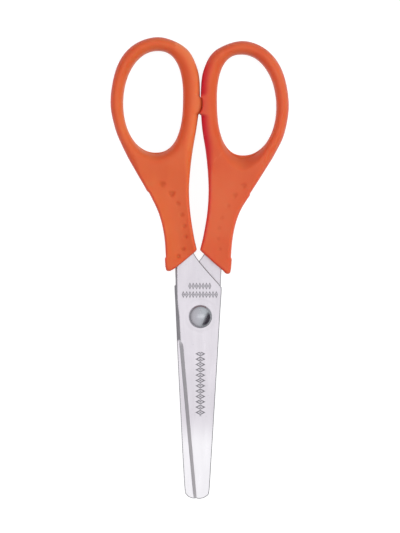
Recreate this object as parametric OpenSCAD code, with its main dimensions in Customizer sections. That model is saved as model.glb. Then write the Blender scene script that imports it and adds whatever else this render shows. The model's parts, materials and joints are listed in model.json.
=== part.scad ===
// Round-tip school scissors, closed, lying flat: two riveted steel blades with moulded plastic handles.
// +Y points from the tips to the handles, +Z is up, and the origin is under the middle of the outline.
// Outline points are measured from the pivot, as [distance out from the middle line, distance up towards the handles].

/* [Layout] */
// Pivot's place to the right of the origin
pivot_x = 0.2; // [0:0.1:0.5]
// Pivot's distance from the origin towards the tips
pivot_y = 13.7; // [13.5:0.1:14]

/* [Blades] */
// Thickness of the blade steel
blade_t = 1.2; // [1:0.1:1.6]
// Height of the plane in which the blades meet
shear_z = 4; // [3.5:0.1:4.5]
// Gap between the blades' inner faces
blade_gap = 0.1; // [0.06:0.02:0.2]
// Width of the ground bevel
bevel_w = 1.1; // [0.6:0.1:1.4]
// Thickness left at the cutting edge
edge_t = 0.15; // [0.1:0.05:0.4]
// Diameter of the lock hole in each tang
lock_d = 3; // [2:0.1:3.4]

/* [Rivet] */
// Diameter of the domed head
head_d = 6.5; // [5.5:0.1:7.5]
// Height of the domed head
head_h = 1.5; // [1:0.1:2]
// Diameter of the shank
shank_d = 3.6; // [3:0.1:4.2]
// Diameter of the formed tail
tail_d = 5.4; // [4.6:0.1:6]
// Height of the formed tail
tail_h = 0.9; // [0.6:0.1:1.4]
// Gap between the front blade's hole and the shank, on the radius
running_gap = 0.04; // [0.02:0.01:0.08]

/* [Handles] */
// Thickness of the handles
handle_t = 8; // [7:0.5:9]
// How far the edge rounding comes in, seen from above
round_in = 1.5; // [1:0.1:1.6]
// How far the edge rounding comes down, seen from the side
round_down = 2.4; // [1.5:0.1:3]
// Share of that rounding that the foot keeps
foot_share = 0.5; // [0.3:0.1:0.6]
// How far the closing stop stands out past the middle line
stop_out = 0.55; // [0.4:0.05:0.7]
// Height of the closing stop
stop_h = 4; // [3:0.5:5]

/* [Hidden] */
$fn = 64;
slack = 1;             // how far a cutter reaches past what it cuts
front_z = shear_z + blade_gap / 2;
rear_z = shear_z - blade_gap / 2 - blade_t;

// The loops' outlines: up the inner side from the neck, over the top and down the outer side to the neck.
left_loop = [[2.9, 40.7], [2.2, 46.5], [0.8, 55], [0.1, 63], [0.9, 70], [4.3, 75.8], [11.6, 78.7],
    [18.8, 76.5], [23.4, 70.6], [25.3, 61], [24, 53], [21.1, 46.2], [17.9, 40.4]];
right_loop = [[2.1, 40.7], [1.5, 46.5], [0.4, 54], [0.1, 62.5], [0.9, 69.4], [4.2, 74.9], [11.6, 77.6],
    [18.3, 75.4], [22.9, 69.6], [24.9, 60.5], [23.8, 52], [21.1, 46], [17.7, 40.4]];
// The necks' outer sides from the loop down to the foot, and their inner sides from the foot up to the loop.
left_outer = [[17.9, 40.4], [14.9, 35.4], [11.7, 29], [10.1, 22], [9.8, 14]];
left_inner = [[1.1, 19.2], [1.9, 23], [2.8, 29], [3.2, 35], [2.9, 40.7]];
right_outer = [[17.7, 40.4], [14.5, 35.2], [10.9, 29], [9.1, 22], [8.6, 13.4]];
right_inner = [[0, 19.2], [0.9, 23], [1.9, 29], [2.3, 35], [2.1, 40.7]];
// The feet: the rounded toe, and then the straight shoulder above the blade.
left_toe = [[9.8, 14], [9.6, 13.1], [9, 12.8]];
left_shoulder = [[8.4, 12.9], [6.9, 13.8], [4.4, 15.8], [2, 17.8]];
right_toe = [[8.6, 13.4], [8.4, 12.4], [7.8, 12]];
right_shoulder = [[7.1, 12.2], [6.1, 13.2], [3.7, 15.2], [1.4, 17.3]];
// The finger holes: [centre out, centre up, reach inwards, reach outwards, half length, lean of the long axis]
left_hole = [12.4, 60.6, 7.5, 9.5, 14.3, -0.02];
right_hole = [11.9, 59.5, 7.2, 9.5, 14.4, -0.02];
// Squareness of a finger hole's inner and outer sides, where 2 is an ellipse
square_in = 2.45;
square_out = 2.05;
loop_n = 64;           // corners around a loop
neck_n = 12;           // corners down the outer side of a neck
round_n = 3;           // facets in a rounded edge
neck_top = 26;         // where the rounding has grown to its full size
neck_foot = 14;        // and where it starts to grow

// The blades, as [right, up] from the pivot: down the outer side of the tang and the blade, round the tip and back.
front_outline = [[-9, 33], [-8.2, 25], [-7.1, 16], [-6.9, 5], [-6.4, 0], [-6, -7], [-2, -51.2], [-0.6, -51.3],
    [0.6, -51.1], [1.9, -50.4], [2.5, -49], [3.1, -40.5], [4.1, -23.6], [5, -9.5], [5.5, 0], [6, 7.2],
    [5.9, 8.1], [5.5, 8.8], [-1.8, 17.7], [-3.4, 25], [-4.6, 33]];
rear_outline = [[7.6, 33], [6.9, 25], [5.9, 12.7], [5.6, 5], [5, -2], [4.5, -7], [-0.2, -51.2], [-1.6, -51.3],
    [-2.8, -51.1], [-3.9, -50.3], [-4.4, -48.8], [-5, -40.5], [-5.8, -23.6], [-6.5, -9.5], [-7, 1.8], [-7.3, 7.8],
    [-7.2, 8.5], [-6.8, 9.2], [0.9, 17.4], [2.2, 25], [3.2, 33]];
// Each cutting edge's ends
front_edge = [[-6, -7], [-2, -51.2]];
rear_edge = [[4.5, -7], [-0.2, -51.2]];
// Each tang's lock hole
front_lock = [-6.2, 28];
rear_lock = [4.8, 28];

// The stop's side view from above, standing on the left handle's inner side
stop_outline = [[-2, 57.6], [0.3, 58.2], [stop_out, 58.9], [stop_out, 60.9], [0.3, 61.6], [-2, 62.2]];
stop_z = (handle_t - stop_h) / 2;
pad_gap = 0.1;         // between the stop and the flat pad it closes against
pad_from = 57.6;       // the pad's lower and upper ends
pad_to = 62.2;

head_rim = 0.35;       // the straight part of the rivet's head
tail_rim = 0.4;        // and of its tail
head_gap = 0.03;       // between the front blade and the head

function mix(a, b, t) = a + (b - a) * t;
function smooth(t) = let (c = min(1, max(0, t))) c * c * (3 - 2 * c);
function unit(v) = v / norm(v);

// A smooth curve through points, as a Catmull-Rom spline: n places on it, with the first point but not the last.
function point(p, i) = i < 0 ? 2 * p[0] - p[1] : i >= len(p) ? 2 * p[len(p) - 1] - p[len(p) - 2] : p[i];
function bend(a, b, c, d, t) =
    0.5 * (2 * b + (c - a) * t + (2 * a - 5 * b + 4 * c - d) * t * t + (3 * b - a - 3 * c + d) * t * t * t);
function curve(p, n) = [for (k = [0 : n - 1])
    let (s = k * (len(p) - 1) / n, i = floor(s))
    bend(point(p, i - 1), point(p, i), point(p, i + 1), point(p, i + 2), s - i)];

// A finger hole's edge, from its lowest point up the inner side, over and down the outer side.
function power(v, e) = sign(v) * pow(abs(v), e);
function hole_edge(h) = [for (k = [0 : loop_n - 1])
    let (a = 360 * (k + 0.5) / loop_n, inner = a < 180, e = 2 / (inner ? square_in : square_out),
         up = -power(cos(a), e) * h[4], out = -power(sin(a), e) * (inner ? h[2] : h[3]))
    [h[0] + out + h[5] * up, h[1] + up]];

// How much of the full rounding an edge has at a given height, and the outline moved in by a share of it.
function fullness(y) = mix(foot_share, 1, smooth((y - neck_foot) / (neck_top - neck_foot)));
function moved_in(p, share, side) = [for (i = [0 : len(p) - 1])
    let (n = len(p), a = unit(p[i] - p[(i + n - 1) % n]), b = unit(p[(i + 1) % n] - p[i]), t = unit(a + b),
         reach = round_in * share * fullness(p[i].y) / max(0.7, t * b))
    p[i] + side * reach * [t.y, -t.x]];

// Levels up a handle's side: [share moved in, share of the rounding's depth, height of the face it is measured from]
function level(k, face) = let (a = 90 * k / round_n) [1 - sin(a), 1 - cos(a), face];
levels = [for (k = [0 : round_n]) level(k, 0), for (k = [round_n : -1 : 0]) level(k, handle_t)];
function ring(p, l, side) = let (q = moved_in(p, l[0], side), way = l[2] == 0 ? 1 : -1)
    [for (i = [0 : len(p) - 1]) [q[i].x, q[i].y, l[2] + way * round_down * fullness(p[i].y) * l[1]]];

function triangles(quads, turned) = [for (q = quads)
    each turned ? [[q[2], q[1], q[0]], [q[3], q[2], q[0]]] : [[q[0], q[1], q[2]], [q[0], q[2], q[3]]]];
// The walls between neighbouring rings of n corners, the lowest ring starting at corner s.
function walls(s, n) = [for (l = [0 : len(levels) - 2], i = [0 : n - 1])
    let (a = s + l * n + i, b = s + l * n + (i + 1) % n) [a, b, b + n, a + n]];
// The flat face between an outline of n corners from s and a hole from h: round the loop, and then down the neck.
function face(s, n, h) = let (m = loop_n) concat(
    [for (i = [0 : m - 2]) [s + i, s + i + 1, h + i + 1, h + i]],
    [[s + m, s, h, h + m - 1]],
    [for (j = [0 : (n - m - 1) / 2 - 1]) [s + m + j, s + m + j + 1, s + n - 1 - j, s + (n - j) % n]]);
function corner(s, h) = [s + loop_n - 1, s + loop_n, h + loop_n - 1];

// A handle as one rounded slab with its finger hole, drawn out to +X.
module handle_slab(loop, outer, toe, shoulder, inner, hole) {
    outline = concat(curve(loop, loop_n), curve(outer, neck_n), toe, shoulder, curve(inner, neck_n - 2));
    edge = hole_edge(hole);
    n = len(outline);
    last = len(levels) - 1;
    holes = n * len(levels);
    corners = concat([for (l = levels) each ring(outline, l, 1)], [for (l = levels) each ring(edge, l, -1)]);
    top = [last * n, holes + last * loop_n];
    faces = concat(
        triangles(walls(0, n), false),
        triangles(walls(holes, loop_n), true),
        triangles(face(0, n, holes), true),
        triangles(face(top[0], n, top[1]), false),
        [[for (i = [2 : -1 : 0]) corner(0, holes)[i]], corner(top[0], top[1])]);
    polyhedron(corners, faces);
}

module tang(outline, lock, z) {
    difference() {
        translate([0, 0, z]) linear_extrude(blade_t) polygon(outline);
        translate([lock.x, lock.y, z - slack]) cylinder(h = blade_t + 2 * slack, d = lock_d);
    }
}

// What the grinding wheel takes off, with the metal to the left of the edge and the ground face upwards.
module bevel_cut(edge) {
    run = edge[1] - edge[0];
    translate([edge[0].x, edge[0].y, edge_t]) rotate(atan2(run.y, run.x))
        rotate([atan((blade_t - edge_t) / bevel_w), 0, 0]) translate([0, -slack, 0])
            cube([norm(run) + slack, bevel_w + 2 * slack, 2 * blade_t]);
}

module at_pivot() translate([pivot_x, -pivot_y, 0]) children();

module front_blade() color([0.89, 0.88, 0.90]) at_pivot() difference() {
    tang(front_outline, front_lock, front_z);
    translate([0, 0, front_z - slack]) cylinder(h = blade_t + 2 * slack, r = shank_d / 2 + running_gap);
    translate([0, 0, front_z]) bevel_cut(front_edge);
}

module rear_blade() color([0.84, 0.84, 0.86]) at_pivot() difference() {
    tang(rear_outline, rear_lock, rear_z);
    translate([0, 0, rear_z - slack]) cylinder(h = blade_t + 2 * slack, d = shank_d);
    translate([0, 0, rear_z + blade_t]) rotate([0, 180, 0]) bevel_cut([for (p = rear_edge) [-p.x, p.y]]);
}

module left_handle() color([0.87, 0.41, 0.25]) at_pivot() difference() {
    union() {
        mirror([1, 0, 0]) handle_slab(left_loop, left_outer, left_toe, left_shoulder, left_inner, left_hole);
        translate([0, 0, stop_z]) linear_extrude(stop_h) polygon(stop_outline);
    }
    tang(front_outline, front_lock, front_z);
}

module right_handle() color([0.84, 0.38, 0.23]) at_pivot() difference() {
    handle_slab(right_loop, right_outer, right_toe, right_shoulder, right_inner, right_hole);
    translate([-slack, pad_from, stop_z - pad_gap])
        cube([slack + stop_out + pad_gap, pad_to - pad_from, stop_h + 2 * pad_gap]);
    tang(rear_outline, rear_lock, rear_z);
}

// The dome is the top of a ball that meets the head's straight rim.
module rivet_head() {
    rise = head_h - head_rim;
    ball = (head_d * head_d / 4 + rise * rise) / (2 * rise);
    intersection() {
        cylinder(h = head_h, d = head_d);
        translate([0, 0, head_h - ball]) sphere(ball, $fn = 128);
    }
}

module rivet() color([0.62, 0.62, 0.65]) at_pivot() {
    head_z = front_z + blade_t + head_gap;
    translate([0, 0, head_z]) rivet_head();
    translate([0, 0, rear_z - tail_rim]) cylinder(h = head_z - rear_z + 2 * tail_rim, d = shank_d);
    translate([0, 0, rear_z - tail_rim]) cylinder(h = tail_rim, d = tail_d);
    translate([0, 0, rear_z - tail_h]) cylinder(h = tail_h - tail_rim, d1 = shank_d, d2 = tail_d);
}

front_blade();
rear_blade();
left_handle();
right_handle();
rivet();
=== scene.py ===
# %% [markdown]
# # Round-tip school scissors
# Two stamped steel blades turn on one rivet, and each carries a plastic handle that was moulded straight
# onto its tang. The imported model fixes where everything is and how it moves. This script makes the pieces
# that are seen, in metres, in that same frame. Each piece gets a finish made of shader nodes, and the
# handles' finish also reads two numbers that each point of their meshes carries. No image is used.

# %% Load the frame
import json
import math

import bmesh
import bpy
import numpy as np
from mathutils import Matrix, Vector
from mathutils.geometry import delaunay_2d_cdt


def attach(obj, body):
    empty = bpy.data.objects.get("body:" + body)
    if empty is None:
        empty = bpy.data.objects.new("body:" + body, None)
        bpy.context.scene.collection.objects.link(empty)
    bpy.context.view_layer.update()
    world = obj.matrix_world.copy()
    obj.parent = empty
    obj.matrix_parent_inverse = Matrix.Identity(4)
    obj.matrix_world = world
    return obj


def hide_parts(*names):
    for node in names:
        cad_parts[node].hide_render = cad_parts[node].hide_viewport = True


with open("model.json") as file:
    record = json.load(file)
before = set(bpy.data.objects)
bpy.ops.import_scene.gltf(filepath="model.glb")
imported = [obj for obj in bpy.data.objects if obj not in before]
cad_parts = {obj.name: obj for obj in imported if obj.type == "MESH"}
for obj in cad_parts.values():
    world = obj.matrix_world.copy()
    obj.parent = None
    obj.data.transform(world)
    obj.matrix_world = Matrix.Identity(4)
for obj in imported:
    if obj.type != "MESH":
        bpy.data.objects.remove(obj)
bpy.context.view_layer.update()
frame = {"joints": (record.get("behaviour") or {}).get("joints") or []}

MM = 0.001
joint = frame["joints"][0]
PIVOT = Vector(joint["pos_m"])
print("pivot", [round(v / MM, 2) for v in PIVOT])

# %% [markdown]
# ## Wrapping sockets, so that shader maths reads like maths
# A material whose colour or bump varies is arithmetic on positions and noise. Wired by hand that takes
# dozens of Math nodes, and the sum is hard to see. A small class that holds an output socket and
# overloads the operators lets the maths be written as an expression, and each operator adds its own node.

# %% A socket with operators
class Sock:
    """One output socket of a node tree, with arithmetic that adds nodes."""

    def __init__(self, tree, out):
        self.tree = tree
        self.out = out

    def math(self, operation, *values):
        return make(self.tree, "ShaderNodeMath", {"operation": operation}, dict(enumerate(values)))

    def __add__(self, other):
        return self.math("ADD", self, other)

    def __radd__(self, other):
        return self.math("ADD", other, self)

    def __sub__(self, other):
        return self.math("SUBTRACT", self, other)

    def __rsub__(self, other):
        return self.math("SUBTRACT", other, self)

    def __mul__(self, other):
        return self.math("MULTIPLY", self, other)

    def __rmul__(self, other):
        return self.math("MULTIPLY", other, self)

    def __truediv__(self, other):
        return self.math("DIVIDE", self, other)

    def absolute(self):
        return self.math("ABSOLUTE", self)

    def least(self, other):
        return self.math("MINIMUM", self, other)

    def most(self, other):
        return self.math("MAXIMUM", self, other)

    def wrapped(self, period):
        return self.math("PINGPONG", self, period)

    def step(self, low, high):
        """0 below low and 1 above high, with a soft ramp between them."""
        settings = {"interpolation_type": "SMOOTHSTEP", "clamp": True}
        inputs = {"Value": self, "From Min": low, "From Max": high}
        return make(self.tree, "ShaderNodeMapRange", settings, inputs)


def make(tree, kind, settings, inputs, output=0):
    """Any node: its settings are set first, and then the values or links of its input sockets."""
    node = tree.nodes.new(kind)
    for name, value in settings.items():
        setattr(node, name, value)
    for name, value in inputs.items():
        if isinstance(value, Sock):
            tree.links.new(value.out, node.inputs[name])
        else:
            node.inputs[name].default_value = value
    return Sock(tree, node.outputs[output])


def mixed(tree, share, colour_a, colour_b, how="MIX"):
    """Colours blend in a Mix node, because a Math node would turn them grey."""
    colours = [c if isinstance(c, Sock) else (*c, 1) for c in (colour_a, colour_b)]
    inputs = {0: share, 6: colours[0], 7: colours[1]}
    return make(tree, "ShaderNodeMix", {"data_type": "RGBA", "blend_type": how}, inputs, 2)


def places(tree, stretch=(1, 1, 1), turned=0.0, moved=(0, 0, 0)):
    """Where a point of the surface is, in millimetres, stretched as a noise needs it."""
    seen = make(tree, "ShaderNodeTexCoord", {}, {}, "Object")
    scale = [s / MM for s in stretch]
    settings = {"vector_type": "POINT"}
    inputs = {"Vector": seen, "Location": moved, "Rotation": (0, 0, turned), "Scale": scale}
    return make(tree, "ShaderNodeMapping", settings, inputs)


def noise(tree, where, size, detail=2.0, rough=0.5):
    """Soft noise whose blotches are about size millimetres across."""
    inputs = {"Vector": where, "Scale": 1 / size, "Detail": detail, "Roughness": rough}
    return make(tree, "ShaderNodeTexNoise", {}, inputs)


def linear(red, green, blue):
    """A colour as a screen shows it, 0 to 255, turned into the light values that shaders use."""
    shown = [v / 255 for v in (red, green, blue)]
    return tuple(v / 12.92 if v < 11 / 255 else ((v + 0.055) / 1.055) ** 2.4 for v in shown)


def new_material(name):
    material = bpy.data.materials.new(name)
    material.use_nodes = True
    tree = material.node_tree
    shader = next(n for n in tree.nodes if n.type == "BSDF_PRINCIPLED")
    return material, tree, shader


def plug(tree, socket, value):
    tree.links.new(value.out, socket)


def bumped(tree, height, deep, strength=1.0):
    """A Bump node on a height from 0 to 1 that stands for deep millimetres."""
    return make(tree, "ShaderNodeBump", {}, {"Strength": strength, "Distance": deep * MM, "Height": height})


print("shader helpers ready")

# %% [markdown]
# ## The handles' plastic
# The handles are taken to be one shot of orange plastic from a mould with a satin finish. Up close such a
# surface has a very fine grain, faint flow streaks, duller patches where hands rub it, and a paler tone
# along its edges. These come from noise and from how curved the mesh is, so one shader does both handles.
# The grain is bump, and the rest goes into colour and roughness.
#
# Noise can't know where a dimple or an outline is, so each point of the mesh carries two more numbers,
# which the shader reads as attributes. `recess_shade` says how far into a dimple, and into the right
# handle's scoop, a point is, and darkens it there as painted shade. `shade_and_highlight` is painted light
# too: above 0 it paints crimson shade along the edges, a little over the whole right handle, and most where
# the right handle faces the left one; below 0 it paints an amber highlight on the left loop's inner band.
# Both tones were judged, and on a real pair of scissors the light causes what they show.

# %% Orange moulded plastic
ORANGE = linear(225, 104, 53)
DEEP_ORANGE = linear(218, 91, 45)
PALE_ORANGE = linear(230, 118, 70)
# Painted shade for the dimples and the right handle's scoop.
RECESS_SHADE_ORANGE = linear(190, 72, 32)
# Painted light: a crimson shade for edges and facing sides, and an amber painted highlight.
CRIMSON_SHADE = linear(216, 44, 66)
AMBER_HIGHLIGHT = linear(243, 138, 88)
RECESS_SHADE_SHARE = 0.36
GLOW_MM = (1.6, 0.3, 0.15)


def handle_plastic():
    material, tree, shader = new_material("orange_plastic")
    flow = noise(tree, places(tree, (1, 0.22, 1), turned=0.12), 7, 3)
    cloud = noise(tree, places(tree), 16, 2)
    grain = noise(tree, places(tree), 0.16, 2, 0.6)
    speck = noise(tree, places(tree), 0.6, 1)
    rubbed = noise(tree, places(tree, moved=(7, 3, 0)), 5, 3).step(0.5, 0.72)
    scuffs = noise(tree, places(tree, (6, 0.5, 3), turned=0.5), 1.4, 2).step(0.62, 0.72) * rubbed
    curved = make(tree, "ShaderNodeNewGeometry", {}, {}, "Pointiness").step(0.52, 0.6)
    colour = mixed(tree, flow.step(0.35, 0.7) * 0.55, ORANGE, DEEP_ORANGE)
    colour = mixed(tree, cloud.step(0.45, 0.7) * 0.35, colour, PALE_ORANGE)
    colour = mixed(tree, (curved * 0.35 + scuffs * 0.3).least(0.5), colour, PALE_ORANGE)
    # Painted shade: the dimples and the right handle's scoop are darkened in colour.
    recess_shade = make(tree, "ShaderNodeAttribute", {"attribute_name": "recess_shade"}, {}, "Fac")
    colour = mixed(tree, recess_shade * RECESS_SHADE_SHARE, colour, RECESS_SHADE_ORANGE)
    # Painted shade and highlight from the mesh: crimson shade above 0, an amber highlight below 0.
    shade_and_highlight = make(tree, "ShaderNodeAttribute", {"attribute_name": "shade_and_highlight"}, {}, "Fac")
    colour = mixed(tree, shade_and_highlight, colour, CRIMSON_SHADE)
    colour = mixed(tree, 0 - shade_and_highlight, colour, AMBER_HIGHLIGHT)
    plug(tree, shader.inputs["Base Color"], colour)
    roughness = 0.44 + (speck - 0.5) * 0.12 + rubbed * 0.06 - curved * 0.06 + scuffs * 0.1 + recess_shade * 0.2
    plug(tree, shader.inputs["Roughness"], roughness)
    fine = bumped(tree, grain + scuffs * 0.6, 0.012, 0.7)
    plug(tree, shader.inputs["Normal"], fine)
    shader.inputs["IOR"].default_value = 1.45
    shader.inputs["Specular IOR Level"].default_value = 0.4
    shader.inputs["Subsurface Weight"].default_value = 0.6
    shader.inputs["Subsurface Radius"].default_value = GLOW_MM
    shader.inputs["Subsurface Scale"].default_value = MM
    return material


PLASTIC = handle_plastic()
print("plastic nodes", len(PLASTIC.node_tree.nodes))

# %% [markdown]
# ## The blades' steel
# The strip steel is rolled and then brushed along the blade, so its grain is lengthwise hairlines. The
# ground bevel was cut by a wheel that ran across the blade, so there the grain turns a right angle and the
# metal is duller. Its darker colour is partly that duller finish and partly painted shade, which stands in
# for the darker reflection that the tilted bevel catches. One function makes every steel here, told which
# way the grain runs and how bright it is.
#
# The blades' colour is also painted: darker above the rivet, as painted shade, and brighter towards the
# tip, as a painted reflection. Those two tones depend only on how far up the blade a point is, and were
# judged.

# %% Brushed and ground stainless steel
STEEL = linear(226, 220, 226)
STEEL_SHADE = linear(208, 202, 209)
TIP_REFLECTION = linear(250, 247, 250)
GROUND_TIP_REFLECTION = linear(214, 212, 215)
# Duller ground finish, darker partly as painted shade for what the tilted bevel reflects.
GROUND_FINISH_AND_SHADE = linear(198, 196, 200)
GROUND_SHADE = linear(180, 178, 183)
SHEARED = linear(164, 163, 167)
SHEARED_SHADE = linear(142, 141, 145)
RIVET_BRIGHT = linear(196, 196, 202)
RIVET_SHADE = linear(182, 182, 189)
# Painted shade above the rivet, and a painted reflection that brightens the blade towards the tip.
PAINTED_SHADE_FROM, PAINTED_SHADE_TO, PAINTED_SHADE_SHARE = -2, 14, 0.4
TIP_REFLECTION_FROM, TIP_REFLECTION_TO, TIP_REFLECTION_SHARE = -27, -37, 0.85
ETCH_SHARE, ETCH_ROUGH, ETCH_DEEP = 0.8, 0.25, 2.5


def height_above_rivet(tree):
    """How far a point is from the rivet towards the handles, in millimetres."""
    where = make(tree, "ShaderNodeTexCoord", {}, {}, "Object")
    return make(tree, "ShaderNodeSeparateXYZ", {}, {"Vector": where}, "Y") / MM - PIVOT.y / MM


def steel(name, bright, shade, stretch, turned, roughness, depth, tip_reflection=None, marks=None):
    material, tree, shader = new_material(name)
    hair = noise(tree, places(tree, stretch, turned), 0.12, 3, 0.65)
    broad = noise(tree, places(tree, [s ** 0.5 for s in stretch], turned), 1.6, 2)
    cloud = noise(tree, places(tree), 9, 2)
    specks = noise(tree, places(tree), 0.55, 1).step(0.74, 0.80)
    colour = mixed(tree, (hair - 0.5) * 0.5 + broad * 0.5 + (cloud - 0.5) * 0.3 + specks * 2, bright, shade)
    if tip_reflection:
        # Painted shade above the rivet, then a painted reflection towards the tip.
        up = height_above_rivet(tree)
        colour = mixed(tree, up.step(PAINTED_SHADE_FROM, PAINTED_SHADE_TO) * PAINTED_SHADE_SHARE, colour, shade)
        colour = mixed(tree, up.step(TIP_REFLECTION_FROM, TIP_REFLECTION_TO) * TIP_REFLECTION_SHARE, colour, tip_reflection)
    rough = roughness + (hair - 0.5) * 0.10 + (broad - 0.5) * 0.08
    height = hair
    if marks:
        mask = marks(tree)
        colour = mixed(tree, mask * ETCH_SHARE, colour, ETCH)
        rough = rough + mask * ETCH_ROUGH
        height = hair - mask * ETCH_DEEP
    plug(tree, shader.inputs["Base Color"], colour)
    plug(tree, shader.inputs["Roughness"], rough)
    plug(tree, shader.inputs["Normal"], bumped(tree, height, depth, 0.6))
    shader.inputs["Metallic"].default_value = 1
    return material


print("steel ready")

# %% [markdown]
# ## The etched band
# Blades like these carry a light etching near the rivet and down the middle. Plain rows of lozenges stand
# for it and say nothing. They are only a mask in the steel's shader: etching removes a few thousandths of
# a millimetre, so it darkens and roughens the metal and barely sinks into it.

# %% Rows of lozenges
ETCH = linear(120, 118, 124)
LOZENGE_LONG, LOZENGE_WIDE = 1.5, 3.0
LOWER_BAND = (-19.0, 9.0)
UPPER_ROWS = ((8.6, 3.255), (6.2, 5.115))
ROW_LONG, ROW_WIDE, ROW_LEFT = 0.93, 2.1, 0.15
BAND_FADE, ROW_FADE = 0.05, 0.03


def lozenges(along, across, long, wide):
    """A row of hollow lozenges: along runs down the row, across runs from side to side."""
    inside = along.wrapped(long / 2) * (2 / long) + across.absolute() * (2 / wide)
    return inside.step(1.0, 0.9) * inside.step(0.50, 0.60) + inside.step(0.32, 0.20)


def etched_marks(tree):
    where = make(tree, "ShaderNodeTexCoord", {}, {}, "Object")
    x = make(tree, "ShaderNodeSeparateXYZ", {}, {"Vector": where}, "X") / MM - PIVOT.x / MM
    y = height_above_rivet(tree)
    middle, half = LOWER_BAND
    ends = (y - middle).absolute().step(half + BAND_FADE, half - BAND_FADE)
    band = lozenges(y, x, LOZENGE_LONG, LOZENGE_WIDE) * ends
    along = x + ROW_LEFT
    for height, reach in UPPER_ROWS:
        ends = along.absolute().step(reach + ROW_FADE, reach - ROW_FADE)
        band = band.most(lozenges(along, y - height, ROW_LONG, ROW_WIDE) * ends)
    worn = noise(tree, places(tree), 0.5, 2).step(0.25, 0.45)
    return band * (0.6 + worn * 0.4)


BRUSHED = (STEEL, STEEL_SHADE, (1, 0.03, 1), 0.0, 0.30, 0.002, TIP_REFLECTION)
FLAT_STEEL = steel("brushed_steel", *BRUSHED)
MARKED_STEEL = steel("etched_steel", *BRUSHED, etched_marks)
GROUND_STEEL = steel("ground_bevel", GROUND_FINISH_AND_SHADE, GROUND_SHADE, (0.05, 1, 1), 0.09, 0.38, 0.004, GROUND_TIP_REFLECTION)
RIVET_STEEL = steel("polished_rivet", RIVET_BRIGHT, RIVET_SHADE, (1, 0.2, 1), 0.7, 0.25, 0.001)
# Dark shear-cut rim steel; where it runs wide on the left rim, its darkness is painted shade.
RIM_STEEL_AND_SHADE = steel("sheared_rim_and_shade", SHEARED, SHEARED_SHADE, (1, 1, 0.1), 0.0, 0.45, 0.006)
print("steels made")

# %% [markdown]
# ## Outlines
# The handles and the blades are flat plates seen from above, so each starts as a smooth closed line in the
# plane of the scissors. The lines are Catmull-Rom splines: they pass through their points, so the points can
# be measured distances from the pivot, in millimetres, as (out from the middle, up towards the handles).

# %% Splines, spacing and distances
STEPS = 24


def spline(points):
    """A dense line of points through the given ones, with STEPS points for each stretch."""
    p = np.array(points, float)
    p = np.vstack([2 * p[0] - p[1], p, 2 * p[-1] - p[-2]])
    t = (np.arange(STEPS) / STEPS)[:, None]
    parts = []
    for a, b, c, d in zip(p, p[1:], p[2:], p[3:]):
        curve = b + t * (c - a) / 2 + t**2 * (a - 2.5 * b + 2 * c - d / 2)
        parts.append(curve + t**3 * (1.5 * (b - c) + (d - a) / 2))
    return np.vstack([*parts, p[-2][None]])


def spaced(line, shares):
    """Points at those shares of the line's length."""
    run = np.concatenate([[0], np.cumsum(np.hypot(*np.diff(line, axis=0).T))])
    return np.stack([np.interp(np.array(shares) * run[-1], run, line[:, i]) for i in (0, 1)], axis=1)


def distance(points, line):
    """From each point to the nearest place on a line."""
    a, b = line[:-1], line[1:]
    along = b - a
    size = np.maximum((along**2).sum(1), 1e-12)
    best = np.full(len(points), 1e9)
    for start in range(0, len(points), 2000):
        p = points[start:start + 2000, None]
        t = np.clip(((p - a) * along).sum(2) / size, 0, 1)[..., None]
        best[start:start + 2000] = np.sqrt((((p - a - t * along) ** 2).sum(2)).min(1))
    return best


def signed_area(line):
    """Twice the area inside a closed line, above 0 if it runs anticlockwise."""
    return (line[:, 0] * np.roll(line[:, 1], -1) - line[:, 1] * np.roll(line[:, 0], -1)).sum()


def ease(value, low, high):
    """0 below low and 1 above high, smooth between."""
    t = np.clip((value - low) / (high - low), 0, 1)
    return t * t * (3 - 2 * t)


def crowded(count, pull=0.8):
    """Shares from 0 to 1 that crowd towards both ends, where a rounded edge needs them."""
    even = np.linspace(0, 1, count + 1)
    return even * (1 - pull) + (1 - np.cos(np.pi * even)) / 2 * pull


print("outlines have", STEPS, "points for each stretch")


def mesh_piece(name, points_mm, faces, materials, which=None, sharp=None, marks=None):
    """A mesh object, in the frame's metres, from points in millimetres from the pivot."""
    mesh = bpy.data.meshes.new(name)
    points = np.array(points_mm, float) * MM + np.array([PIVOT.x, PIVOT.y, 0.0])
    mesh.from_pydata(points.tolist(), [], faces)
    for material in materials:
        mesh.materials.append(material)
    for mark, values in (marks or {}).items():
        mesh.attributes.new(mark, "FLOAT", "POINT").data.foreach_set("value", values)
    if which is not None:
        mesh.polygons.foreach_set("material_index", which)
    shape = bmesh.new()
    shape.from_mesh(mesh)
    bmesh.ops.remove_doubles(shape, verts=shape.verts, dist=1e-7)
    bmesh.ops.recalc_face_normals(shape, faces=shape.faces)
    for face in shape.faces:
        face.smooth = True
    if sharp:
        for edge in shape.edges:
            edge.smooth = edge.calc_face_angle(0.0) < math.radians(sharp)
    shape.to_mesh(mesh)
    shape.free()
    piece = bpy.data.objects.new(name, mesh)
    bpy.context.scene.collection.objects.link(piece)
    print(name, len(mesh.vertices), "points", len(mesh.polygons), "faces")
    return piece


# %% [markdown]
# ## The handles' shape
# Each handle is one moulding: a finger loop, a neck and a foot that grips the blade's tang. Its surface
# is a height over the plan, full in the middle and rolled down towards the outline and the finger hole. A
# modelled sweep would round every edge alike. Here the height is a sum of named effects instead, so the
# scoop under the hole, the dish along the neck and each dimple are a line or two. The grid follows the
# outline: a ring of cells runs round the hole, and a strip of cells runs down the neck to the foot.
#
# The left handle has a little stop where the loops meet, and the right one a pad. STOP_SEAM is the line
# between the two. Each handle is pulled to it from its own side, and stays STOP_GAP short of it.

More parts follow.
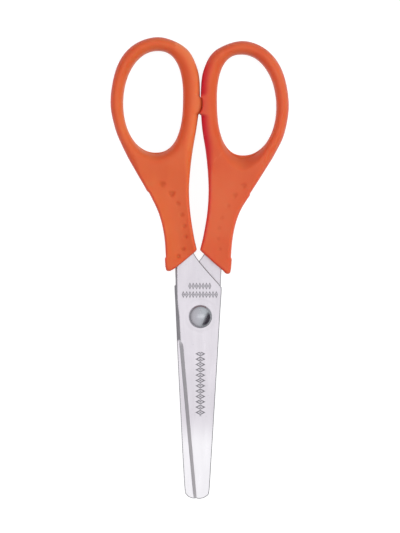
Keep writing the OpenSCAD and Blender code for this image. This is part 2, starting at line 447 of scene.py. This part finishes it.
# %% Measured points of the two handles
# shade_tone: painted crimson shade over the whole handle, which also scales its scoop's painted shade.
LEFT = {
    "inner": [(1.1, 19.2), (1.9, 23), (2.8, 29), (3.2, 35)],
    "loop": [(2.9, 40.7), (2.2, 46.5), (0.8, 55), (0.1, 63), (0.9, 70), (4.3, 75.8), (11.6, 78.7),
             (18.8, 76.5), (23.4, 70.6), (25.3, 61), (24, 53), (21.1, 46.2), (17.9, 40.4)],
    "outer": [(14.9, 35.4), (11.7, 29), (10.1, 22), (9.8, 14)],
    "foot": [(9.8, 14), (9.6, 13.1), (9, 12.8), (8.4, 12.9), (6.9, 13.8), (4.4, 15.8), (2, 17.8),
             (1.35, 18.35), (1.02, 18.85), (1.1, 19.2)],
    "hole": (12.4, 60.55, 7.5, 9.35, 14.35), "side": -1, "body": "front_half", "node": "left_handle",
    "scoop": (2.7, 1.9, 1.0), "dish": 1.15, "shade_tone": 0.0, "steps": ((35.2, 0.42), (16.6, -0.34)),
}
RIGHT = {
    "inner": [(0, 19.2), (0.9, 23), (1.9, 29), (2.3, 35)],
    "loop": [(2.1, 40.7), (1.5, 46.5), (0.4, 54), (0.1, 62.5), (0.9, 69.4), (4.2, 74.9), (11.6, 77.6),
             (18.3, 75.4), (22.9, 69.6), (24.9, 60.5), (23.8, 52), (21.1, 46), (17.7, 40.4)],
    "outer": [(14.5, 35.2), (10.9, 29), (9.1, 22), (8.6, 13.4)],
    "foot": [(8.6, 13.4), (8.4, 12.4), (7.8, 12), (7.1, 12.2), (6.1, 13.2), (3.7, 15.2), (1.4, 17.3),
             (0.3, 18.3), (-0.05, 18.8), (0, 19.2)],
    "hole": (11.9, 59.65, 7.2, 9.5, 14.25), "side": 1, "body": "rear_half", "node": "right_handle",
    "scoop": (4.5, 3.2, 0.14), "dish": 0.4, "shade_tone": 0.1, "steps": ((34.4, -0.34), (16.4, -0.34)),
}
LEFT["dimples"] = [(10.66, 37.25, 0.9, 0.34, 1), (8.04, 34.57, 0.95, 0.38, 1), (6.32, 31.8, 0.7, 0.26, 0),
                   (5.16, 28.7, 0.68, 0.25, 0), (4.48, 25.5, 0.66, 0.24, 0), (4.15, 22.5, 0.64, 0.24, 0),
                   (4.8, 19.0, 0.62, 0.3, 0), (6.15, 17.0, 0.66, 0.34, 0)]
RIGHT["dimples"] = [(12.1, 36.85, 0.9, 0.24, 1), (9.6, 34.07, 0.85, 0.22, 1), (7.75, 31.1, 0.66, 0.18, 0),
                    (6.1, 27.75, 0.64, 0.15, 0), (5.3, 24.9, 0.62, 0.14, 0), (5.0, 21.8, 0.6, 0.14, 0),
                    (5.45, 18.9, 0.58, 0.16, 0)]
HANDLE_T = 8.0
DIMPLE_DEEP = 0.42
HOLE_LEAN = -0.02
HOLE_SQUARE_IN, HOLE_SQUARE_OUT = 2.45, 2.05
HOLE_START, HOLE_END = math.radians(228), math.radians(-52)
STEP_SHARP, STEP_FADE = 0.14, 2.2
STOP_SEAM = [(57.15, -0.3), (57.6, 0.08), (58.2, 0.42), (59, 0.58), (60.5, 0.6), (61.2, 0.42), (61.8, 0)]
STOP_GAP = 0.004


def hole_line(hole, angles):
    """The finger hole: an oval that is a little squarer on its inner side."""
    out, up, reach_in, reach_out, half = hole
    c, s = np.cos(angles), np.sin(angles)
    power = 2 / np.where(c < 0, HOLE_SQUARE_IN, HOLE_SQUARE_OUT)
    x = np.where(c < 0, reach_in, reach_out) * np.sign(c) * np.abs(c) ** power
    y = half * np.sign(s) * np.abs(s) ** power
    return np.stack([out + x + HOLE_LEAN * y, up + y], axis=1)


def stop_share(up, soft=0.25):
    """1 beside the little stop where the two handles meet, and 0 away from it."""
    low, high = STOP_SEAM[0][0], STOP_SEAM[-1][0]
    return ease(up, low - soft, low) * (1 - ease(up, high, high + soft))


def seam(up):
    """Where the two handles meet beside the stop, in millimetres to the right of the middle."""
    heights, places_out = zip(*STOP_SEAM)
    return np.interp(up, heights, places_out)


print("handle outlines", len(LEFT["loop"]), len(RIGHT["loop"]))

# %% The plan grid of a handle
AROUND, ACROSS, NECK_ACROSS, NECK_ROWS = 200, 20, 64, 96
STOP_AT, STOP_NEAR, STOP_CROWD = 0.158, 0.022, 5
NECK_PULL = 1.25


def loop_shares():
    """Shares of the way round a loop, closer together beside the stop, where the outline has small steps."""
    even = np.linspace(0, 1, 2001)
    close = 1 + STOP_CROWD * np.exp(-(((even - STOP_AT) / STOP_NEAR) ** 2))
    run = np.concatenate([[0], np.cumsum((close[1:] + close[:-1]) / 2)])
    return np.interp(np.linspace(0, 1, AROUND + 1), run / run[-1], even)


def handle_plan(spec):
    """Plan points, their four-sided cells, and the rings of points at the outline and at the hole."""
    body = spline(spec["inner"] + spec["loop"] + spec["outer"])
    up = body[:, 1]
    low = STEPS * len(spec["inner"])
    high = STEPS * (len(spec["inner"]) + len(spec["loop"]) - 1)
    body = body.copy()
    outer = np.arange(len(body)) >= high
    for height, size in spec["steps"]:
        jog = size / 2 * np.tanh((up - height) / STEP_SHARP) * np.exp(-np.abs(up - height) / STEP_FADE)
        body[:, 0] += np.where(outer, jog, 0)
    near = (np.arange(len(body)) < low + STEPS * 6) * stop_share(up)
    if spec["side"] > 0:
        body[:, 0] += near * (seam(up) + STOP_GAP - body[:, 0])
    inner, loop, outer = body[:low + 1][::-1], body[low:high + 1], body[high:]
    beside = body[:low + STEPS * 3], body[high - STEPS * 2:][::-1]
    foot = spline(spec["foot"])
    corner = STEPS + STEPS // 2
    outer = np.vstack([outer, foot[1:corner + 1]])
    foot = foot[corner:]

    over = hole_line(spec["hole"], np.linspace(HOLE_START, HOLE_END, 600))
    under = hole_line(spec["hole"], np.linspace(HOLE_END, HOLE_START - 2 * math.pi, 300))
    shares = loop_shares()
    rim = np.vstack([spaced(loop, shares),
                     spaced(np.vstack([loop[-1], loop[0]]), crowded(NECK_ACROSS))[1:-1]])
    bore = np.vstack([spaced(over, shares),
                      spaced(under, np.linspace(0, 1, NECK_ACROSS + 1))[1:-1]])
    t = crowded(ACROSS, 0.9)[None, :, None]
    ring = rim[:, None] * (1 - t) + bore[:, None] * t
    count = len(rim)
    ids = np.arange(count * (ACROSS + 1)).reshape(count, ACROSS + 1)

    top = spaced(np.vstack([loop[-1], loop[0]]), crowded(NECK_ACROSS))
    bottom = spaced(foot, crowded(NECK_ACROSS))
    down = 1 - (1 - np.linspace(0, 1, NECK_ROWS + 1)) ** NECK_PULL
    sides = spaced(outer, down), spaced(inner, down)
    s = crowded(NECK_ACROSS)[:, None, None]
    d = down[None, :, None]
    neck = (top[:, None] * (1 - d) + bottom[:, None] * d
            + sides[0][None] * (1 - s) + sides[1][None] * s
            - (1 - s) * (1 - d) * top[0] - s * (1 - d) * top[-1]
            - (1 - s) * d * bottom[0] - s * d * bottom[-1])
    more = np.arange((NECK_ACROSS + 1) * NECK_ROWS).reshape(NECK_ACROSS + 1, NECK_ROWS) + ids.size
    first = ids[[*range(AROUND, count), 0], 0]
    neck_ids = np.hstack([first[:, None], more])
    points = np.vstack([ring.reshape(-1, 2), neck[:, 1:].reshape(-1, 2)])

    turned = np.roll(ids, -1, axis=0)
    cells = [np.stack([ids[:, :-1], ids[:, 1:], turned[:, 1:], turned[:, :-1]], axis=-1).reshape(-1, 4)]
    n = neck_ids
    cells.append(np.stack([n[:-1, :-1], n[1:, :-1], n[1:, 1:], n[:-1, 1:]], axis=-1).reshape(-1, 4))
    edge = [*ids[:AROUND + 1, 0], *n[0, 1:], *n[1:, -1], *n[-1, -2:0:-1]]
    return points, np.vstack(cells), edge, list(ids[:, -1]), beside


print("plan cells", (AROUND + NECK_ACROSS) * ACROSS + NECK_ACROSS * NECK_ROWS)

# %% Heights over the plan, and the handle
EDGE_ROUND, EDGE_DROP = 2.7, 2.9
NECK_ROUND, NECK_DROP = 0.95, 1.5
FOOT_ROUND, FOOT_DROP = 0.7, 1.0
HOLE_ROUND, HOLE_DROP = 2.9, 3.0
# How strongly the right handle's scoop is painted darker, as painted shade.
SCOOP_SHADE = 6
PAD_FLAT, PAD_CLEAR = 0.8, 0.9
# Each pair holds the two heights above the rivet between which an effect comes in or goes out.
FOOT_TO_NECK, NECK_TO_LOOP = (15, 22), (36, 50)
DISH_FROM, DISH_UNTIL = (12, 18), (37, 47)
FACING_SHADE_FROM, FACING_SHADE_UNTIL = (17, 24), (70, 76)
LOOP_FROM, WIDE_UNTIL, DEEP_UNTIL = (38, 50), (68, 75), (66, 73)
LEFT_FROM, HIGHLIGHT_FROM = (30, 40), (42, 50)
# Left of the middle: where the left loop starts to be pulled out into the stop, and where it is fully pulled.
STOP_PULL = (-2.0, -0.35)
PARTING_GROOVE, PARTING_HALF = 0.05, 0.14
INNER_SIDE = 7
# Painted crimson shade along every edge, and more on the right handle's side that faces the left one.
EDGE_SHADE_TINT, EDGE_SHADE_WIDE = 0.25, 1.0
FACING_SHADE, LOOP_SHADE = 0.3, 0.45
FACING_WIDE, LOOP_WIDE = 0.5, 1.4
# Painted amber highlight on the right-facing side of the left loop's inner band.
HIGHLIGHT_SHARE, HIGHLIGHT_AT = 0.5, 0.9


def roll_off(distances, reach):
    """1 at an edge and 0 from reach inwards, along a quarter of an oval."""
    t = np.clip(distances / reach, 0, 1)
    return 1 - np.sqrt(np.maximum(0, 1 - (1 - t) ** 2))


def dimple(points, out, up, radius, three_sided):
    """How much each point is in a pressed dimple, round or like a blunt triangle that points down."""
    dx, dy = points[:, 0] - out, points[:, 1] - up
    size = np.hypot(dx, dy)
    if three_sided:
        turn = np.arctan2(dy, dx)
        size = size * (1 + 0.16 * np.cos(3 * (turn + math.pi / 2)) * ease(size, 0, radius) * -1)
    return 1 - ease(size, radius * 0.45, radius * 1.15)


def painted_tone(spec, points, to_edge, pad):
    """How much painted crimson shade each point gets, above 0, or painted amber highlight, below 0."""
    up = points[:, 1]
    on_loop = ease(up, *LOOP_FROM)
    inner_side = points[:, 0] < INNER_SIDE
    facing = (spec["side"] > 0) * inner_side * ease(up, *FACING_SHADE_FROM) * (1 - ease(up, *FACING_SHADE_UNTIL))
    left_inner = (spec["side"] < 0) * inner_side * ease(up, *LEFT_FROM)
    wide = EDGE_SHADE_WIDE + FACING_WIDE * facing + LOOP_WIDE * facing * on_loop * (1 - ease(up, *WIDE_UNTIL))
    deeper = FACING_SHADE + LOOP_SHADE * on_loop * (1 - ease(up, *DEEP_UNTIL))
    strong = EDGE_SHADE_TINT * (1 - left_inner) + deeper * facing * (1 - PAD_CLEAR * pad)
    tone = spec["shade_tone"] + strong * (1 - ease(to_edge, 0, wide))
    # Painted highlight: an amber band a little in from the left loop's inner edge.
    amber = np.exp(-((to_edge - HIGHLIGHT_AT) ** 2))
    return tone - HIGHLIGHT_SHARE * left_inner * ease(up, *HIGHLIGHT_FROM) * amber


def handle_height(spec, points, edge, bore, sides):
    """For each point: how far the upper skin is above the middle plane, how much painted shade it gets in a
    dimple and in the scoop, and its painted shade and highlight tone.
    """
    line = points[[*edge, edge[0]]]
    to_edge = distance(points, line)
    to_hole = distance(points, points[[*bore, bore[0]]])
    up = points[:, 1]
    blend, grown = ease(up, *FOOT_TO_NECK), ease(up, *NECK_TO_LOOP)
    pad = stop_share(up, 1.0) * (points[:, 0] < 3) * (spec["side"] > 0)
    squarer = 1 - PAD_FLAT * pad
    reach = FOOT_ROUND + (NECK_ROUND - FOOT_ROUND) * blend + (EDGE_ROUND - NECK_ROUND) * grown
    drop = FOOT_DROP + (NECK_DROP - FOOT_DROP) * blend + (EDGE_DROP - NECK_DROP) * grown
    height = HANDLE_T / 2 - drop * squarer * roll_off(to_edge, reach * squarer)
    height -= HOLE_DROP * roll_off(to_hole, HOLE_ROUND)

    out, middle_up = spec["hole"][:2]
    wide, deep, soft = spec["scoop"]
    lean = np.arctan2(points[:, 0] - out, middle_up - up)
    width = wide * np.clip(1.06 - np.sqrt(lean**2 + 0.004) / 0.6, 0, 1)
    inside = width - to_hole
    ramp = (inside + np.sqrt(inside**2 + soft**2)) / 2 * ease(width, 0, 0.8)
    height -= ramp * deep / wide

    near_x, far_x = (np.interp(up, side[:, 1], side[:, 0]) for side in sides)
    share = np.clip((points[:, 0] - near_x) / (far_x - near_x), 0, 1)
    along_neck = ease(up, *DISH_FROM) * (1 - ease(up, *DISH_UNTIL))
    height -= spec["dish"] * np.sin(math.pi * share) * along_neck
    # Painted shade: how much each point in the scoop and in a dimple is darkened in colour.
    pressed = ramp / wide * spec["shade_tone"] * SCOOP_SHADE
    for *where, dent, three_sided in spec["dimples"]:
        share = dimple(points, *where, three_sided)
        height -= share * dent
        pressed = np.maximum(pressed, share * dent / DIMPLE_DEEP)
    return np.maximum(height, 0.5), pressed, painted_tone(spec, points, to_edge, pad)


def push_out_stop(verts):
    """Pulls the inner side of the left loop out into the little stop."""
    x, up = verts[:, 0], verts[:, 1]
    share = stop_share(up) * ease(x, *STOP_PULL)
    verts[:, 0] += share * (seam(up) - STOP_GAP - x)


def handle(name, spec):
    points, cells, edge, bore, beside = handle_plan(spec)
    height, pressed, shade_and_highlight = handle_height(spec, points, edge, bore, beside)
    count = len(points)
    middle = HANDLE_T / 2
    x = points[:, 0] * spec["side"]
    verts = [np.stack([x, points[:, 1], middle + height], 1), np.stack([x, points[:, 1], middle - height], 1)]
    faces = [*cells.tolist(), *(cells[:, ::-1] + count).tolist()]
    total = 2 * count
    shades_and_highlights = [shade_and_highlight, shade_and_highlight]
    for ring_ids, sign in ((edge, 1), (bore, -1)):
        ids = np.array(ring_ids)
        rim = points[ids]
        along = np.roll(rim, -1, axis=0) - np.roll(rim, 1, axis=0)
        inward = np.stack([along[:, 1], -along[:, 0]], 1) / np.maximum(np.hypot(*along.T), 1e-9)[:, None]
        inward *= sign * (1 if signed_area(rim) < 0 else -1)
        rows = [ids]
        for z, inset in ((PARTING_HALF, 0.0), (0.0, PARTING_GROOVE), (-PARTING_HALF, 0.0)):
            p = rim + inward * inset
            verts.append(np.stack([p[:, 0] * spec["side"], p[:, 1], np.full(len(p), middle + z)], 1))
            shades_and_highlights.append(shade_and_highlight[ids])
            rows.append(np.arange(total, total + len(p)))
            total += len(p)
        rows.append(ids + count)
        for a, b in zip(rows, rows[1:]):
            faces += np.stack([a, b, np.roll(b, -1), np.roll(a, -1)], 1).tolist()
    verts = np.vstack(verts)
    if spec["side"] < 0:
        push_out_stop(verts)
    recess_shade = np.concatenate([pressed, pressed, np.zeros(total - 2 * count)])
    marks = {"recess_shade": recess_shade, "shade_and_highlight": np.concatenate(shades_and_highlights)}
    piece = mesh_piece(name, verts, faces, [PLASTIC], marks=marks)
    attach(piece, spec["body"])
    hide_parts(spec["node"])


handle("left_handle_moulding", LEFT)
handle("right_handle_moulding", RIGHT)

# %% [markdown]
# ## The blades
# A blade is stamped from strip, so its rim is a little rolled on the side where the punch pressed, and
# then one edge is ground to a bevel. The tang, the part inside the plastic, is cut in one with it. The
# plan is cut into triangles between the lines that matter: a few insets of the rim, the bevel's crest and
# circles round the rivet's hole. Then each point is given its depth, so the creases lie exactly on those
# lines.

# %% Measured points of the two blades
FRONT = {
    "outline": [(-9, 33), (-8.2, 25), (-7.15, 16), (-6.9, 5), (-6.4, 0), (-5.97, -7), (-4.63, -22),
                (-3.25, -37), (-2, -50.1), (-1.6, -50.9), (-0.6, -51.3), (0.6, -51.15), (1.85, -50.5),
                (2.52, -49), (3.08, -40.5), (4.13, -23.6), (4.97, -9.5), (5.52, 0), (5.98, 7.2), (5.85, 8.1),
                (5.5, 8.8), (-1.8, 17.7), (-3.4, 25), (-4.6, 33)],
    "edge": ((-6, -7), (-2.1, -51.2)), "direction": 1, "rolled": (0.62, 0.3),
    "body": "front_half", "node": "front_blade",
}
REAR = {
    "outline": [(7.6, 33), (6.9, 25), (5.9, 12.7), (5.6, 5), (5, -2), (4.5, -7), (2.9, -22), (1.3, -37),
                (-0.1, -50.1), (-0.6, -50.9), (-1.6, -51.3), (-2.8, -51.1), (-3.9, -50.3), (-4.38, -48.8),
                (-4.93, -40.5), (-5.8, -23.6), (-6.5, -9.5), (-7, 1.8), (-7.3, 7.8), (-7.2, 8.5), (-6.8, 9.2),
                (0.9, 17.4), (2.2, 25), (3.2, 33)],
    "edge": ((4.5, -7), (-0.2, -51.2)), "direction": -1, "rolled": (0.85, 0.5),
    "body": "rear_half", "node": "rear_blade",
}
BLADE_T, BLADE_GAP, SHEAR_Z = 1.2, 0.1, 4.0
BEVEL_W, EDGE_T, RUN_OUT = 1.08, 0.15, 1.3
BEVEL_START, BEVEL_LIFT, BEVEL_LONG = -1.7, 1.4, 46
BORE_R, RING_R, RING_WIDE, RING_DEEP = 1.84, 4.5, 0.4, 0.026
RIM_ROUND, RIM_DEEP, RIM_SHEARED = 0.16, 0.16, 0.2
BACK_ROUND, BACK_DEEP = 0.06, 0.04
RIM_POINTS, CIRCLE_POINTS = 519, 72
GRIP_X, GRIP_TOP, OUTER_X, OUTER_MORE = -3.5, 9.9, -7.0, 8
GRIP_FROM = (-7.2, -6.2)
RIM_INSETS = (0.03, 0.08, 0.15, 0.25, 0.4, 0.6, 0.85)
print("blade", BLADE_T, "mm thick, bevel", BEVEL_W, "mm wide")


# %% A blade from its outline
def inside_of(points, line):
    """Which points are inside a closed line."""
    a, b = line, np.roll(line, -1, axis=0)
    x, y = points[:, :1], points[:, 1:]
    crosses = (a[:, 1] > y) != (b[:, 1] > y)
    at = a[:, 0] + (y - a[:, 1]) / np.where(a[:, 1] == b[:, 1], 1e-9, b[:, 1] - a[:, 1]) * (b[:, 0] - a[:, 0])
    return (crosses & (x < at)).sum(1) % 2 == 1


def bevel_depth(points, edge, inward):
    """How far the bevel's plane is above the flat face at each point. Below 0 it cuts into the face."""
    start, end = (np.array(p, float) for p in edge)
    along = (end - start) / np.linalg.norm(end - start)
    run = (points - start) @ along
    lift = (1 - ease(run, BEVEL_START, RUN_OUT)) * BEVEL_LIFT
    return (points - start) @ inward * (BLADE_T - EDGE_T) / BEVEL_W - (BLADE_T - EDGE_T) + lift


def left_rim(points):
    """1 along the left rim between the handle and the bevel, where the rim is rounded more widely and where a
    wider band of dark rim steel is painted shade.
    """
    x, up = points[:, 0], points[:, 1]
    return (x < GRIP_X) * (up < GRIP_TOP + OUTER_MORE * (x > OUTER_X)) * ease(up, *GRIP_FROM)


def blade(name, spec, skin):
    closed = np.vstack([spline(spec["outline"]), spec["outline"][0]])
    rim = spaced(closed, np.linspace(0, 1, RIM_POINTS + 1)[:-1])
    along = np.roll(rim, -1, axis=0) - np.roll(rim, 1, axis=0)
    inward = np.stack([-along[:, 1], along[:, 0]], 1) / np.hypot(*along.T)[:, None]
    inward *= 1 if signed_area(rim) > 0 else -1
    loops = [rim] + [rim + inward * inset for inset in RIM_INSETS]
    turn = np.linspace(0, 2 * math.pi, CIRCLE_POINTS + 1)[:-1]
    circle = np.stack([np.cos(turn), np.sin(turn)], 1)
    ring_half = 2.4 * RING_WIDE
    for r in (BORE_R, 3.0, *np.linspace(RING_R - ring_half, RING_R + ring_half, 9)):
        loops.append(circle * r)
    start, end = (np.array(p, float) for p in spec["edge"])
    run = (end - start) / np.linalg.norm(end - start)
    across = np.array([-run[1], run[0]])
    across = across if across @ (np.array([0, -20.0]) - start) > 0 else -across
    crest = []
    for share in np.concatenate([np.linspace(-1.6, RUN_OUT, 18), np.linspace(RUN_OUT + 1, BEVEL_LONG, 46)]):
        foot = start + run * share
        depth = bevel_depth(foot[None], spec["edge"], across)[0]
        crest.append(foot + across * max(-depth, 0) / (BLADE_T - EDGE_T) * BEVEL_W)
    coords, edges = [], []
    for loop in loops:
        base = len(coords)
        coords += [Vector(p) for p in loop]
        edges += [(base + i, base + (i + 1) % len(loop)) for i in range(len(loop))]
    base = len(coords)
    coords += [Vector(p) for p in crest]
    edges += [(base + i, base + i + 1) for i in range(len(crest) - 1)]
    made = delaunay_2d_cdt(coords, edges, [], 0, 1e-5, False)
    points = np.array([tuple(p) for p in made[0]])
    triangles = np.array([f for f in made[2] if len(f) == 3])
    centres = points[triangles].mean(axis=1)
    keep = inside_of(centres, rim) & (np.hypot(*centres.T) > BORE_R * 0.999)
    triangles = triangles[keep]

    to_rim = distance(points, rim[[*range(len(rim)), 0]])
    from_pivot = np.hypot(*points.T)
    above = spec["direction"] > 0
    on_left = left_rim(points)
    wide, deep = spec["rolled"]
    rolled = RIM_ROUND + (wide - RIM_ROUND) * on_left
    rolled_deep = RIM_DEEP + (deep - RIM_DEEP) * on_left
    face = np.full(len(points), BLADE_T)
    face -= rolled_deep * roll_off(to_rim, rolled) if above else RIM_DEEP * roll_off(to_rim, RIM_ROUND)
    face -= RING_DEEP * np.exp(-(((from_pivot - RING_R) / RING_WIDE) ** 2))
    bevel = bevel_depth(points, spec["edge"], across)
    face = np.maximum(EDGE_T, np.minimum(face, BLADE_T + bevel))
    ground = bevel_depth(centres[keep], spec["edge"], across) < 0
    back = BACK_DEEP * roll_off(to_rim, BACK_ROUND)
    if not above:
        back += on_left * deep * roll_off(to_rim, wide)
    near_rim = distance(centres[keep], rim[[*range(len(rim)), 0]])
    # A narrow shear-cut strip all round, widened on the left rim as painted shade along that edge.
    sheared_and_shaded = near_rim < np.where(left_rim(centres[keep]) > 0.5, wide * 0.8, RIM_SHEARED)

    count = len(points)
    heights = [SHEAR_Z + spec["direction"] * (BLADE_GAP / 2 + h) for h in (face, back)]
    verts = np.vstack([np.column_stack([points, h]) for h in heights])
    sides = {}
    for a, b, c in triangles.tolist():
        for e in ((a, b), (b, c), (c, a)):
            sides[e] = 1
    open_edges = [e for e in sides if (e[1], e[0]) not in sides]
    faces = [*triangles.tolist(), *(triangles[:, ::-1] + count).tolist()]
    faces += [(a, a + count, b + count, b) for a, b in open_edges]
    upper = np.where(ground, 1, np.where(sheared_and_shaded, 2, 0))
    lower = np.where(sheared_and_shaded, 2, 0)
    which = [*upper.tolist(), *lower.tolist(), *[2] * len(open_edges)]
    piece = mesh_piece(name, verts, faces, [skin, GROUND_STEEL, RIM_STEEL_AND_SHADE], which, sharp=24)
    loose = bmesh.new()
    loose.from_mesh(piece.data)
    bmesh.ops.delete(loose, geom=[v for v in loose.verts if not v.link_faces], context="VERTS")
    loose.to_mesh(piece.data)
    loose.free()
    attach(piece, spec["body"])
    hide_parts(spec["node"])


blade("front_blade_steel", FRONT, MARKED_STEEL)
blade("rear_blade_steel", REAR, FLAT_STEEL)

# %% [markdown]
# ## The rivet
# A rivet starts as a headed pin, and its tail is spun over once the blades are on it. Turned parts are
# lathed here too: half of the section is drawn as a line of (radius, height), and the line is swept round
# the axis.

# %% A turned rivet
HEAD_R, HEAD_LOW, HEAD_RIM, HEAD_TOP = 3.25, 5.28, 5.62, 6.78
SHANK_R, TAIL_R, TAIL_LOW, TAIL_HIGH, TAIL_RIM = 1.8, 2.7, 1.85, 2.75, 2.25
TURNS = 96


def dome(radius, low, high, steps=20):
    """From the rim to the crown of a shallow round head."""
    angles = np.linspace(0, math.pi / 2, steps)
    return [(radius * math.cos(a), low + (high - low) * math.sin(a)) for a in angles]


def turned_rivet():
    top = dome(HEAD_R - 0.05, HEAD_RIM - 0.1, HEAD_TOP)[:-1]
    line = [(0.0, HEAD_TOP), *top[::-1], (HEAD_R, HEAD_RIM - 0.14), (HEAD_R, HEAD_LOW + 0.08),
            (HEAD_R - 0.08, HEAD_LOW), (SHANK_R, HEAD_LOW), (SHANK_R, TAIL_HIGH), (TAIL_R - 0.08, TAIL_HIGH),
            (TAIL_R, TAIL_HIGH - 0.08),
            (TAIL_R, TAIL_RIM), (TAIL_R - 0.1, TAIL_RIM - 0.16), (TAIL_R - 0.4, TAIL_LOW + 0.1),
            (TAIL_R - 0.9, TAIL_LOW), (0.9, TAIL_LOW), (0.55, TAIL_LOW + 0.16), (0.0, TAIL_LOW + 0.2)]
    turn = np.linspace(0, 2 * math.pi, TURNS + 1)[:-1]
    verts, rows = [], []
    for r, z in line:
        rows.append(range(len(verts), len(verts) + (TURNS if r else 1)))
        verts += [(r * math.cos(a), r * math.sin(a), z) for a in (turn if r else turn[:1])]
    faces = []
    for a, b in zip(rows, rows[1:]):
        for i in range(TURNS):
            j = (i + 1) % TURNS
            if len(a) == 1:
                faces.append((a[0], b[i], b[j]))
            elif len(b) == 1:
                faces.append((a[i], b[0], a[j]))
            else:
                faces.append((a[i], b[i], b[j], a[j]))
    piece = mesh_piece("turned_rivet", verts, faces, [RIVET_STEEL], sharp=38)
    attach(piece, "rear_half")
    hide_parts("rivet")


turned_rivet()

# %% [markdown]
# ## Floor, light and camera
# Small steel and plastic goods are lit by large soft sources, so that steel shows a smooth grey and
# plastic has no hard glint. The sky is darker at the horizon than overhead, so faces that lean away look
# darker, and a rosy lamp at one side tints what faces it. Three staged things help. The floor is a pale
# sheet that glows a little, so only a faint shadow is left where the scissors touch it. A wall far behind
# is seen by the camera alone. A dark card is seen in reflections alone, and gives the polished rivet its
# dark side. The camera looks straight down through a long lens, which keeps the two loops alike.

# %% Pale floor
FLOOR_SIZE = 6.0
FLOOR_GREY, FLOOR_GLOW, WALL_GLOW = 0.22, 0.92, 0.86
CARD_TONE = (0.13, 0.12, 0.16)


def matt(name, base, glow=0.0, roughness=0.5):
    """A material with no gloss, which gives off its own white light if it glows."""
    material, tree, shader = new_material(name)
    shader.inputs["Base Color"].default_value = (*base, 1)
    shader.inputs["Roughness"].default_value = roughness
    shader.inputs["Specular IOR Level"].default_value = 0.0
    if glow:
        shader.inputs["Emission Color"].default_value = (1, 1, 1, 1)
        shader.inputs["Emission Strength"].default_value = glow
    return material


def staged_object(name, shape, material):
    """Turns a bmesh into an object that isn't part of the scissors."""
    mesh = bpy.data.meshes.new(name)
    shape.to_mesh(mesh)
    shape.free()
    mesh.materials.append(material)
    thing = bpy.data.objects.new(name, mesh)
    bpy.context.scene.collection.objects.link(thing)
    return thing


def pale_floor():
    shape = bmesh.new()
    bmesh.ops.create_circle(shape, cap_ends=True, segments=64, radius=FLOOR_SIZE / 2)
    floor = staged_object("floor", shape, matt("pale_floor", [FLOOR_GREY] * 3, FLOOR_GLOW, 0.9))
    floor.visible_diffuse = False


def backdrop():
    """A pale wall far behind, which the lens sees from the side and which lights nothing."""
    around = FLOOR_SIZE / 2 - 0.01
    shape = bmesh.new()
    bmesh.ops.create_cone(shape, cap_ends=False, segments=96, radius1=around, radius2=around,
                          depth=FLOOR_SIZE)
    wall = staged_object("backdrop", shape, matt("pale_wall", (0, 0, 0), WALL_GLOW))
    wall.visible_diffuse = wall.visible_glossy = wall.visible_shadow = wall.visible_transmission = False


pale_floor()
backdrop()
print("floor and wall", FLOOR_SIZE, "m across")

# %% Sky and lamps
HORIZON, ZENITH, RIGHTWARD = 0.27, 0.88, 0.10
ROSY, COOL = (1.0, 0.96, 0.99), (0.97, 1.02, 1.02)


def soft_sky():
    world = bpy.data.worlds.new("soft_sky")
    bpy.context.scene.world = world
    world.use_nodes = True
    tree = world.node_tree
    tree.nodes.clear()
    seen = make(tree, "ShaderNodeTexCoord", {}, {}, "Generated")
    up = make(tree, "ShaderNodeSeparateXYZ", {}, {"Vector": seen}, "Z")
    right = make(tree, "ShaderNodeSeparateXYZ", {}, {"Vector": seen}, "X")
    tint = mixed(tree, right.step(-0.8, 0.5), ROSY, COOL)
    level = HORIZON + up.step(0.0, 0.9) * (ZENITH - HORIZON) + right * RIGHTWARD
    node = tree.nodes.new("ShaderNodeBackground")
    tree.links.new(level.out, node.inputs["Strength"])
    tree.links.new(tint.out, node.inputs["Color"])
    output = tree.nodes.new("ShaderNodeOutputWorld")
    tree.links.new(node.outputs[0], output.inputs[0])


def lamp(name, place, size, watts, tint=(1, 1, 1)):
    light = bpy.data.lights.new(name, "AREA")
    light.color = tint
    light.shape = "ELLIPSE"
    light.size, light.size_y = size
    light.energy = watts
    holder = bpy.data.objects.new(name, light)
    bpy.context.scene.collection.objects.link(holder)
    holder.location = place
    holder.rotation_euler = (-Vector(place)).to_track_quat("-Z", "Y").to_euler()
    return holder


soft_sky()
key = lamp("key", (0.8, 0.12, 0.5), (0.4, 0.6), 3.6, (0.90, 1.10, 1.06))
lamp("overhead", (0.06, 0.0, 1.2), (0.3, 0.7), 0.26)
rosy = lamp("rosy_edge", (-0.8, 0.1, 0.22), (0.3, 0.6), 1.5, (1.0, 0.06, 0.35))
key.visible_glossy = rosy.visible_glossy = False
print("sky from", HORIZON, "to", ZENITH, "and", len(bpy.data.lights), "lamps")


def flag(name, place, wide, high):
    """A dark oval card that only reflections see, turned to face the scissors."""
    shape = bmesh.new()
    bmesh.ops.create_circle(shape, cap_ends=True, segments=48, radius=0.5)
    bmesh.ops.scale(shape, vec=(wide, high, 1), verts=shape.verts)
    card = staged_object(name, shape, matt("black_card", CARD_TONE))
    card.location = place
    card.rotation_euler = (-Vector(place)).to_track_quat("Z", "Y").to_euler()
    card.visible_camera = card.visible_diffuse = card.visible_shadow = False


flag("black_card", (0.29, -0.14, 0.3), 0.74, 0.42)

# %% Camera and size
LENS, SENSOR, LONG_SIDE = 200.0, 36.0, 0.1503
VIEW_CENTRE = (0.0001, 0.0004)
camera_data = bpy.data.cameras.new("camera")
camera_data.lens = LENS
camera_data.sensor_width = SENSOR
camera_data.clip_start, camera_data.clip_end = 0.05, 20
camera = bpy.data.objects.new("camera", camera_data)
camera.location = (*VIEW_CENTRE, LONG_SIDE * LENS / SENSOR + SHEAR_Z * MM)
bpy.context.scene.collection.objects.link(camera)
bpy.context.scene.camera = camera
bpy.context.scene.view_settings.view_transform = "Standard"
